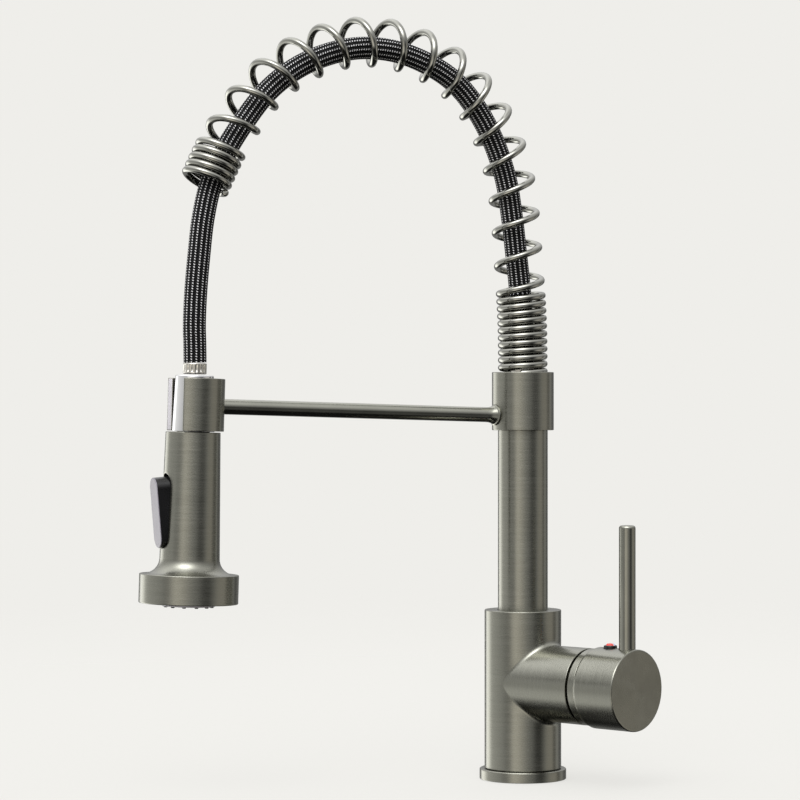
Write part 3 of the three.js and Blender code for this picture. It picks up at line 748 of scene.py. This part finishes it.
def make_spring():
    spine, length = smooth_route(SPRING_ROUTE, 0.5)
    travel = np.linspace(0, length, len(spine))
    turns = BASE_TURNS + OPEN_TURNS + END_TURNS
    turn = np.linspace(0, turns, round(turns * COIL_ROWS) + 1)
    along = np.clip(coil_travel(turn, length), 0, length)
    centre = np.stack([np.interp(along, travel, axis) for axis in spine.T], 1)
    tangent = np.stack([np.interp(along, travel, axis) for axis in directions(spine).T], 1)
    inward = np.stack([tangent[:, 2], 0 * turn, -tangent[:, 0]], 1)
    angle = math.radians(COIL_START) + 2 * math.pi * turn
    line = centre + COIL_R * np.cos(angle)[:, None] * inward
    line[:, 1] += COIL_R * np.sin(angle)
    outward = (line - centre) / COIL_R
    forward = directions(line)
    across = np.cross(forward, outward)
    rings = [line[:1]]
    for share, shift in WIRE_END:
        rings.append(wire_ring(line[0] + forward[0] * shift, outward[0], across[0], share))
    rings += [wire_ring(*row) for row in zip(line[1:-1], outward[1:-1], across[1:-1])]
    for share, shift in reversed(WIRE_END):
        rings.append(wire_ring(line[-1] - forward[-1] * shift, outward[-1], across[-1], share))
    rings.append(line[-1:])
    skin = Skin()
    skin.rings(rings)
    spring = make_object("spout_spring", skin, SPOUT, sharp=60)
    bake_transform(spring)
    finish_piece(spring, None, "spring_wire", ["coil_spring"], "wire")


def wire_ring(point, outward, across, share=1):
    side, up, _ = polar(WIRE_R * share, round_angles(WIRE_SIDES), 0).T
    return point + np.outer(side, outward) + np.outer(up, across)


# ---- base and valve body ----
def make_flange():
    outline = [(15.2, 0), (FLANGE_R, 0, 0.3), (FLANGE_R, FLANGE_H, 0.7), (15.2, FLANGE_H)]
    turned_piece("deck_flange", outline, UPRIGHT, "faucet_base", "brushed_nickel", ["base_flange"], "nickel")


JUNCTION_STEPS = 7
STUB_BORE_R = 18.2
STUB_BORE_START = 8  # where the bore ends, from the body's axis
STUB_LIP = 1.2  # the last stretch of the stub's wall, up to its rounded end


def junction_rings(shares):
    """The fillet from the body's wall to the stub, the stub, its end and its bore, along +X."""
    y, z, _ = polar(1, 2 * math.pi * shares, 0).T
    far_body, far_stub = BODY_R + JUNCTION_R, STUB_R + JUNCTION_R
    centre = np.stack([np.sqrt(far_body**2 - (far_stub * y) ** 2), far_stub * y, far_stub * z], 1)
    on_body = centre * np.array((BODY_R / far_body, BODY_R / far_body, 1))
    on_stub = centre * np.array((1, STUB_R / far_stub, STUB_R / far_stub))
    start, end = on_body - centre, on_stub - centre
    cosine = np.clip(np.einsum("ij,ij->i", start, end) / JUNCTION_R**2, -1, 1)
    sweep = np.maximum(np.arccos(cosine), 1e-3)[:, None]
    rings = [centre + between(start, end, sweep, t) for t in np.linspace(0, 1, JUNCTION_STEPS + 1)]
    reach = on_stub[:, 0]
    for t in (0.02, 0.25, 0.5, 0.75, 1):
        rings.append(np.stack([reach + (STUB_END - STUB_LIP - reach) * t, STUB_R * y, STUB_R * z], 1))
    end_profile = rounded([(STUB_R, STUB_END - STUB_LIP), (STUB_R, STUB_END, 0.35),
                           (STUB_BORE_R, STUB_END, 0.2), (STUB_BORE_R, STUB_BORE_START)], closed=False)
    rings += [np.stack([x + 0 * y, radius * y, radius * z], 1) for radius, x in end_profile[1:]]
    rings.append(np.array([(STUB_BORE_START, 0, 0)], float))
    for ring in rings:
        ring[:, 2] += VALVE_Z
    return rings


BODY_SCREW_Z = 90.8
BODY_BORE_R = 14.9


def make_body():
    stub = {"angle": 0, "height": VALVE_Z, "half_height": 29, "rows": 36, "columns": 72, "layers": 7,
            "inner": BODY_R - 1, "rings": junction_rings, "material": 1}
    screw_angle = math.degrees(math.atan2(-SPOUT_OUT.y, -SPOUT_OUT.x))
    screw = round_hole(screw_angle, BODY_SCREW_Z, 2.4, (3.4, 6), BODY_R, 0.2, 15.4)
    outline = [(0, 28), (17.8, 28), (17.8, BODY_BOTTOM, 0.2), (BODY_R, BODY_BOTTOM, 0.35),
               (BODY_R, BODY_TOP, 0.45), (BODY_BORE_R, BODY_TOP, 0.3), (BODY_BORE_R, 77), (0, 77)]
    body = pierced("valve_housing", outline, [stub, screw])
    finish_piece(body, "faucet_base", "brushed_nickel", ["valve_body"], "nickel", "nickel_x")


def make_trim_ring():
    outline = [(14, 46), (17.9, 46), (17.9, TRIM_START), (STUB_R, TRIM_START, 0.3),
               (STUB_R, CAP_START - 0.3, 0.3), (14, CAP_START - 0.3)]
    turned_piece("cartridge_trim", outline, VALVE, "faucet_base", "brushed_nickel", ["trim_ring"], "nickel")


# ---- handle ----
def make_cap():
    lever_hole = round_hole(0, LEVER_X, LEVER_R + 0.22, (5.75, 10), CAP_R, 0.3, 17.6)
    index_hole = round_hole(0, INDEX_X, 4.1, (4.9, 10), CAP_R, 0.3, 21.3)
    outline = [(0, 71), (20, 71), (20, 60), (STUB_R + 0.4, 60), (STUB_R + 0.4, CAP_START),
               (CAP_R, CAP_START + 1.6, 0.6), (CAP_R, CAP_END, 0.8), (0, CAP_END)]
    cap = pierced("handle_hub", outline, [lever_hole, index_hole], VALVE)
    finish_piece(cap, "handle", "brushed_nickel", ["handle_cap"], "nickel")


def make_lever():
    top = LEVER_TOP - VALVE_Z
    outline = [(0, 17.9), (LEVER_R, 17.9, 0.4), (LEVER_R, top, 1.5), (0, top)]
    matrix = Matrix.Translation((LEVER_X * MM, 0, VALVE_Z * MM))
    turned_piece("handle_lever", outline, matrix, "handle", "brushed_nickel", ["lever_rod"], "satin", 64)


def make_index():
    """The hot and cold mark: a domed lens in a black bezel."""
    matrix = Matrix.Translation((INDEX_X * MM, 0, VALVE_Z * MM))
    outline = [(0, 21.6), (3.8, 21.6, 0.2), (3.8, 24.4, 0.4), (2.95, 24.75, 0.25), (2.85, 24.2), (0, 24.2)]
    turned_piece("index_bezel", outline, matrix, "handle", "dark_plastic", [], "gloss_black", 48)
    outline = [(0, 24), (2.8, 24), (2.8, 24.7, 0.15), (1.9, 25.6, 0.9), (0, 25.85)]
    turned_piece("index_lens", outline, matrix, "handle", "index_colours", ["index_plug"], "index", 48)


# ---- riser, collar, arm and clip ----
RISER_BORE_R = 12.9
COLLAR_BORE_R = 14.8
COLLAR_SCREW_Z = 211


def make_riser():
    bottom, top = low("riser_tube").z, high("riser_tube").z
    outline = [(RISER_BORE_R, bottom), (RISER_R, bottom, 0.3), (RISER_R, top, 0.3), (RISER_BORE_R, top)]
    turned_piece("spout_riser", outline, SPOUT, "spout", "brushed_nickel", ["riser_tube"], "nickel")


def make_collar():
    screw = round_hole(180, COLLAR_SCREW_Z, 2.3, (3.6, 8), COLLAR_R, 0.2, 15.2)
    outline = [(COLLAR_BORE_R, COLLAR_BOTTOM, 0.15), (COLLAR_R, COLLAR_BOTTOM, 0.4),
               (COLLAR_R, COLLAR_TOP, 0.4), (15, COLLAR_TOP, 0.3), (15, 233.4),
               (8.2, 233.4), (8.2, 228), (COLLAR_BORE_R, 228)]
    collar = pierced("spout_collar", outline, [screw], SPOUT)
    finish_piece(collar, "spout", "brushed_nickel", ["top_collar"], "nickel")


def make_arm():
    """The arm leans with the head. It is drawn along X from the clip's axis, so the riser is at -span."""
    span = REACH / HEAD_UP.z
    y, z, _ = polar(1, round_angles(64), 0).T

    def ring(radius, x):
        return np.stack([x + 0 * y, radius * y, radius * z - ARM_DROP], 1)

    def saddle(radius, gap):
        return ring(radius, -span + np.sqrt(COLLAR_R**2 - (radius * y) ** 2) + gap)

    root = COLLAR_R - span
    tip = 0.35 - CLIP_R
    rings = [np.array([(root - 3, 0, -ARM_DROP)]), ring(2.4, root - 3)]
    rings += [saddle(radius, gap) for radius, gap in (
        (2.4, 0.05), (5.9, 0.05), (6.1, 0.25), (6.15, 0.6), (6.1, 0.95), (5.8, 1.15), (5.4, 1.3))]
    rings += [ring(radius, x) for radius, x in (
        (4.95, root + 2.2), (4.6, root + 3.2), (4.4, root + 4.4), (ARM_R, root + 6), (ARM_R, root + 6.6),
        (ARM_R, tip - 1), (ARM_R, tip + 0.6), (2.4, tip + 0.6), (2.4, tip + 1.6))]
    rings.append(np.array([(tip + 1.6, 0, -ARM_DROP)]))
    skin = Skin()
    skin.rings(rings)
    finish_piece(make_object("spout_arm", skin, HEAD), "spout", "brushed_nickel", ["support_arm"], "satin")


def clip_section(inset):
    """The clip's wall cut across, as a rounded (radius, height) outline drawn in by inset."""
    inner, outer, top = CLIP_R - CLIP_WALL + inset, CLIP_R - inset, CLIP_HALF - inset
    corner = 0.35
    return rounded([(inner, -top, corner), (outer, -top, corner), (outer, top, corner), (inner, top, corner)])


CLIP_EDGE = 0.4  # rounding round the clip's two ends
CLIP_COLUMNS = 96


def make_clip():
    turn = math.degrees(CLIP_EDGE / CLIP_R) / CLIP_EDGE
    stations = [(CLIP_HALF_ANGLE - turn * back, inset) for back, inset in reversed(quarter_turn(CLIP_EDGE))]
    open_half = CLIP_HALF_ANGLE - 3
    places = [(180 - angle, inset) for angle, inset in stations]
    places += [(angle, 0) for angle in np.linspace(180 - open_half, 180 + open_half, CLIP_COLUMNS)]
    places += [(180 + angle, inset) for angle, inset in reversed(stations)]
    skin = Skin()
    rings = []
    for degrees, inset in places:
        angle = math.radians(degrees)
        rings.append([(r * math.cos(angle), r * math.sin(angle), z) for r, z in clip_section(inset)])
    numbers = skin.rings(rings)
    # The clip's two end faces take the pale material, a painted reflection in place of the light off the metal
    # ends.
    skin.face(numbers[0], material=1)
    skin.face(numbers[-1], material=1)
    clip = make_object("docking_cradle", skin, HEAD)
    finish_piece(clip, "spout", "brushed_nickel", ["docking_clip"], "nickel", "clip_end")


# ---- spray head ----
def make_neck():
    outline = [(0, -14.9), (NECK_BOTTOM_R, -14.9, 0.2), (NECK_TOP_R, NECK_TOP, 0.7), (8.4, NECK_TOP, 0.3),
               (8.4, NECK_TOP - 2), (0, NECK_TOP - 2)]
    turned_piece("head_collar", outline, HEAD, "spray_head", "polished_chrome", ["head_neck"], "chrome")


FERRULE_BOTTOM = 16.95
FERRULE_TOP = 23
FLUTES = 16
FLUTE_DEPTH = 0.6


def make_ferrule():
    """The crimped sleeve at the hose's end, with upright flutes."""
    angles = round_angles(COLUMNS * 2)
    wave = FLUTE_DEPTH * (1 - np.abs(np.cos(FLUTES * angles / 2)) ** 0.7)
    rings = [np.array([(0, 0, FERRULE_BOTTOM)])]
    for radius, height, depth in (
            (4.6, FERRULE_BOTTOM, 0), (6.2, FERRULE_BOTTOM, 0), (6.5, 17.25, 0), (6.5, 17.9, 0),
            (6.5, 18.4, 1), (6.5, 21.6, 1), (6.5, 22.1, 0), (6.5, 22.7, 0),
            (6.2, FERRULE_TOP, 0), (4.4, FERRULE_TOP, 0)):
        rings.append(polar(radius - wave * depth, angles, height))
    rings.append(np.array([(0, 0, FERRULE_TOP)]))
    skin = Skin()
    skin.rings(rings)
    sleeve = make_object("crimped_ferrule", skin, HEAD, sharp=50)
    finish_piece(sleeve, "hose_end", "steel", ["hose_ferrule"], "steel")


BELL_LIP_R = 25.3
FLARE_START = BELL_TOP + 0.4


def make_shell():
    outline = [(0, SHELL_TOP), (SHELL_TOP_R, SHELL_TOP, 0.35), (FLARE_START_R, FLARE_START, FLARE_R),
               (BELL_R, BELL_TOP, 0.5), (BELL_R, BELL_BOTTOM, 0.6), (BELL_LIP_R, BELL_BOTTOM, 0.2),
               (BELL_LIP_R, -105), (0, -105)]
    slope = (FLARE_START_R - SHELL_TOP_R) / (SHELL_TOP - FLARE_START)
    slot = {"angle": 0, "height": ROCKER_Z, "half_height": SLOT_HALF + 2.6, "rows": 44, "columns": 26,
            "layers": 3, "inner": 14,
            "rings": pocket(lambda s, g: pill_edge(s, SLOT_HALF_WIDTH, SLOT_HALF, g),
                            lambda z: SHELL_TOP_R + slope * (SHELL_TOP - z), ROCKER_Z, 0.35, 8.6)}
    shell = pierced("head_sleeve", outline, [slot], HEAD)
    finish_piece(shell, "spray_head", "brushed_nickel", ["head_shell"], "nickel")


def rocker_ring(shares, x, inset):
    """A cut across the rocker at a distance x in front of its pin."""
    across, up = pill_edge(shares, ROCKER_HALF_WIDTH, ROCKER_HALF, -inset)
    return np.stack([np.full(len(shares), x), across, up], 1)


ROCKER_COLUMNS = 160
ROCKER_BACK = -0.4


def make_rocker():
    """The rocker's glossy sides and its satin face."""
    shares = np.arange(ROCKER_COLUMNS) / ROCKER_COLUMNS
    skin = Skin()
    cuts = ((ROCKER_BACK, 0.3), (ROCKER_BACK + 0.3, 0), (ROCKER_FACE / 2, 0), (ROCKER_FACE - 1.2, 0),
            (ROCKER_FACE - ROCKER_EDGE - 0.1, 0))
    rings = [rocker_ring(shares, x, inset) for x, inset in cuts]
    sides = skin.rings([np.array([(ROCKER_BACK, 0, 0)]), *rings])
    rings = [rocker_ring(shares, ROCKER_FACE - back, inset) for back, inset in quarter_turn(ROCKER_EDGE)]
    for share in (0.93, 0.6, 0.3):
        rings.append(rocker_ring(shares, ROCKER_FACE, ROCKER_EDGE) * (1, share, share))
    rings.append(np.array([(ROCKER_FACE, 0, 0)]))
    face = skin.rings(rings, material=1)
    skin.bridge(sides[-1], face[0])
    lean = Matrix.Rotation(math.radians(ROCKER_TILT), 4, "Y")
    matrix = HEAD @ Matrix.Translation((ROCKER_PIN_X * MM, 0, ROCKER_Z * MM)) @ lean
    rocker = make_object("spray_rocker", skin, matrix, sharp=40)
    finish_piece(rocker, "rocker", "dark_plastic", ["rocker_button"], "gloss_black", "lavender")


BOSS_BOTTOM = -111.7
NOZZLES = 12
NOZZLE_CIRCLE_R = 13.2


def make_spray_face():
    outline = [(9, -105.6), (25, -105.6), (25, BELL_BOTTOM + 0.5, 0.2), (15, BELL_BOTTOM + 0.5, 0.2),
               (14.6, BOSS_BOTTOM, 0.25), (9, BOSS_BOTTOM, 0.2)]
    turned_piece("spray_plate", outline, HEAD, "spray_head", "dark_plastic", ["spray_face"], "clip_end")


def make_nozzles():
    skin = Skin()
    outline = rounded([(0, -110.2), (1.2, -110.2), (1.0, -112.3, 0.3), (0.4, -112.3, 0.1), (0.4, -111.8),
                       (0, -111.8)], closed=False)
    for centre in circle(NOZZLE_CIRCLE_R, 0, NOZZLES):
        skin.rings([np.array(circle(r, z, 20)) + centre for r, z in outline])
    nubs = make_object("rubber_nozzles", skin, HEAD)
    finish_piece(nubs, "spray_head", "rubber", ["nozzle_mat"], "rubber")


SCREEN_R = 6.35
SCREEN_PITCH = 1.05
SCREEN_WIRES = 11  # each way
SCREEN_WIRE = 0.17  # half its thickness
SCREEN_LEVELS = (-110.3, -110.05)  # the wires one way lie on the wires the other way
CORNERS = ((-1, -1), (1, -1), (1, 1), (-1, 1))


def make_aerator():
    """The aerator's cup and the crossed wires of its screen."""
    outline = [(0, -104), (8.6, -104), (8.6, -111.4, 0.3), (6.4, -111.4, 0.3), (6.4, -109.6), (0, -109.6)]
    turned_piece("aerator_cup", outline, HEAD, "spray_head", "grey_plastic", ["aerator"], "grey", 64)
    skin = Skin()
    for i in range(SCREEN_WIRES):
        place = (i - SCREEN_WIRES // 2) * SCREEN_PITCH
        reach = math.sqrt(SCREEN_R**2 - place**2)
        for turn, level in enumerate(SCREEN_LEVELS):
            rings = []
            for x in (-reach, reach):
                ring = [(x, place + a * SCREEN_WIRE, level + b * SCREEN_WIRE) for a, b in CORNERS]
                rings.append([(y, x, z) for x, y, z in ring] if turn else ring)
            ends = skin.rings(rings)
            skin.face(ends[0])
            skin.face(ends[1][::-1])
    screen = make_object("aerator_screen", skin, HEAD)
    finish_piece(screen, "spray_head", "steel", [], "steel")


# ---- stage ----
PALE = (0.863, 0.855, 0.823)
FLOOR_GLOW = 0.79  # the share of the background's brightness that the floor has in full shadow
FLOOR_GAP = 0.0004

# Brightness of the studio round the horizon, at degrees to the camera's right as the faucet sees it.
HORIZON = [
    (-180, 0.2), (-152, 0.25), (-142, 2.4), (-126, 2.2), (-114, 1.0), (-100, 0.8), (-86, 0.7), (-66, 0.55),
    (-54, 0.36), (-43, 0.42), (-34, 0.85), (-27, 1.05), (-18, 0.95), (-8, 0.75), (2, 0.55), (12, 0.38),
    (26, 0.25), (38, 0.07), (52, 0.07), (62, 0.25), (74, 0.5), (86, 0.55), (97, 0.55), (105, 0.2),
    (112, 0.25), (120, 0.55), (130, 0.4), (140, 0.1), (156, 0.25), (180, 0.2),
]
NEUTRAL = (1.0, 1.0, 0.97)
WARM = (1.0, 0.95, 0.86)
TINTS = [
    (-60, NEUTRAL), (-28, WARM), (-6, WARM), (20, NEUTRAL), (62, NEUTRAL), (78, WARM), (104, WARM),
    (125, NEUTRAL),
]
# Brightness from straight down to straight up, at degrees of elevation, where SKY_SIDES is 1.
SKY = [
    (-90, 0.02), (-46, 0.03), (-41, 0.15), (-36, 0.55), (-31, 1.05), (-16, 0.9), (10, 0.65), (24, 1.0),
    (34, 1.4), (48, 1.9), (90, 1.9),
]
SKY_SIDES = [(-180, 0.85), (-125, 1.0), (-90, 0.95), (0, 0.8), (60, 0.6), (120, 0.55), (180, 0.85)]
# How far up and down the panels reach, and how their light changes with elevation.
PANEL_REACH = [(-60, 0.0), (-50, 1.0), (0, 1.0), (16, 0.0)]
PANEL_FALL = [
    (-90, 0.02), (-46, 0.03), (-41, 0.2), (-36, 0.7), (-31, 1.45), (-16, 1.4), (-6, 1.0), (90, 1.0),
]
GLOW_AZIMUTH = math.radians(-15)
GLOW_HEIGHT = math.radians(50)
GLOW_WIDTH = math.radians(34)
GLOW_DEPTH = math.radians(15)
GLOW_LEVEL = 7.0


def glow(tree, azimuth, elevation):
    """A soft oval light above the camera's left."""
    across = maths(tree, "MULTIPLY", maths(tree, "SUBTRACT", azimuth, GLOW_AZIMUTH), 1 / GLOW_WIDTH)
    up = maths(tree, "MULTIPLY", maths(tree, "SUBTRACT", elevation, GLOW_HEIGHT), 1 / GLOW_DEPTH)
    away = maths(tree, "ADD", maths(tree, "MULTIPLY", across, across), maths(tree, "MULTIPLY", up, up))
    fall = maths(tree, "POWER", math.e, maths(tree, "MULTIPLY", away, -1.0))
    return maths(tree, "MULTIPLY", fall, GLOW_LEVEL)


def banded(tree, share, bands, span):
    """A colour ramp over (degrees, level or colour) bands, where share covers -span/2 to span/2 degrees."""
    levels = [band[1] for band in bands if isinstance(band[1], (int, float))]
    brightest = max([1.0, *levels])
    stops = [(a / span + 0.5, value / brightest if levels else value) for a, value in bands]
    colour = ramp(tree, share, stops)
    return node(tree, "VectorMath", {0: colour, "Scale": brightest}, operation="SCALE").outputs[0]


def make_world():
    """A soft studio: bright and dark panels round the horizon, a pale ceiling and a dark ground."""
    world = bpy.data.worlds.new("studio")
    bpy.context.scene.world = world
    world.use_nodes = True
    tree = world.node_tree
    tree.nodes.clear()
    direction = node(tree, "TexCoord").outputs["Generated"]
    facing = math.atan2(TOWARDS_CAMERA.y, TOWARDS_CAMERA.x)
    turned_back = node(tree, "VectorRotate", {"Vector": direction, "Angle": -facing}, rotation_type="Z_AXIS")
    x, y, z = node(tree, "SeparateXYZ", {0: turned_back.outputs[0]}).outputs
    azimuth, elevation = maths(tree, "ARCTAN2", y, x), maths(tree, "ARCSINE", z)
    turn = maths(tree, "MULTIPLY_ADD", azimuth, 1 / (2 * math.pi), 0.5)
    height = maths(tree, "MULTIPLY_ADD", elevation, 1 / math.pi, 0.5)
    panels = combine(tree, "MULTIPLY", banded(tree, turn, HORIZON, 360), banded(tree, turn, TINTS, 360))
    panels = combine(tree, "MULTIPLY", panels, banded(tree, height, PANEL_FALL, 180))
    sky = combine(tree, "MULTIPLY", banded(tree, height, SKY, 180), banded(tree, turn, SKY_SIDES, 360))
    is_panel = banded(tree, height, PANEL_REACH, 180)
    base = node(tree, "Mix", {0: is_panel, 6: sky, 7: panels}, data_type="RGBA").outputs[2]
    colour = combine(tree, "ADD", base, glow(tree, azimuth, elevation))
    lit = node(tree, "Background", {"Color": colour, "Strength": 1.0})
    seen = node(tree, "Background", {"Color": (*PALE, 1), "Strength": 1.0})
    ray = node(tree, "LightPath").outputs["Is Camera Ray"]
    both = node(tree, "MixShader", {0: ray, 1: lit.outputs[0], 2: seen.outputs[0]})
    out = tree.nodes.new("ShaderNodeOutputWorld")
    tree.links.new(both.outputs[0], out.inputs[0])


def make_floor():
    """A pale floor that fades into the background."""
    skin = Skin()
    skin.rings([[(0, 0, 0)], *[circle(r, 0) for r in (100, 300, 700, 1200, 1800)]])
    floor = make_object("floor", skin)
    floor.location.z = -FLOOR_GAP
    material = bpy.data.materials.new("floor_pale")
    material.use_nodes = True
    tree = material.node_tree
    tree.nodes.clear()
    place = node(tree, "NewGeometry").outputs["Position"]
    away = node(tree, "VectorMath", {0: place}, operation="LENGTH").outputs["Value"]
    speck = grain(tree, (300, 300, 300), 2.0)
    tone = ramp(tree, speck, [(0.3, (0.118, 0.117, 0.112)), (0.7, (0.124, 0.123, 0.118))])
    lit = node(tree, "BsdfDiffuse", {"Color": tone})
    soft = node(tree, "Emission", {"Color": (*PALE, 1), "Strength": FLOOR_GLOW})
    pale = node(tree, "AddShader", {0: lit.outputs[0], 1: soft.outputs[0]})
    clear = node(tree, "BsdfTransparent")
    fade = ramp(tree, maths(tree, "MULTIPLY", away, 0.6), [(0.25, 1.0), (0.95, 0.0)], "EASE")
    both = node(tree, "MixShader", {0: fade, 1: clear.outputs[0], 2: pale.outputs[0]})
    out = tree.nodes.new("ShaderNodeOutputMaterial")
    tree.links.new(both.outputs[0], out.inputs[0])
    floor.data.materials.append(material)
    floor.visible_glossy = False
    floor.visible_diffuse = False


# ---- the scene ----
make_camera()
make_hose()
make_spring()
make_flange()
make_body()
make_trim_ring()
make_cap()
make_lever()
make_index()
make_riser()
make_collar()
make_arm()
make_clip()
make_neck()
make_ferrule()
make_shell()
make_rocker()
make_spray_face()
make_nozzles()
make_aerator()

node_slots = {part["node"]: part["material_slot"] for part in frame["record"]["subparts"]}
for name, cad in frame["nodes"].items():
    cad.data.materials.clear()
    cad.data.materials.append(M[NODE_LOOKS.get(name, CAD_LOOKS[node_slots[name]])])

make_world()
make_floor()
bpy.context.scene.view_settings.view_transform = "Standard"
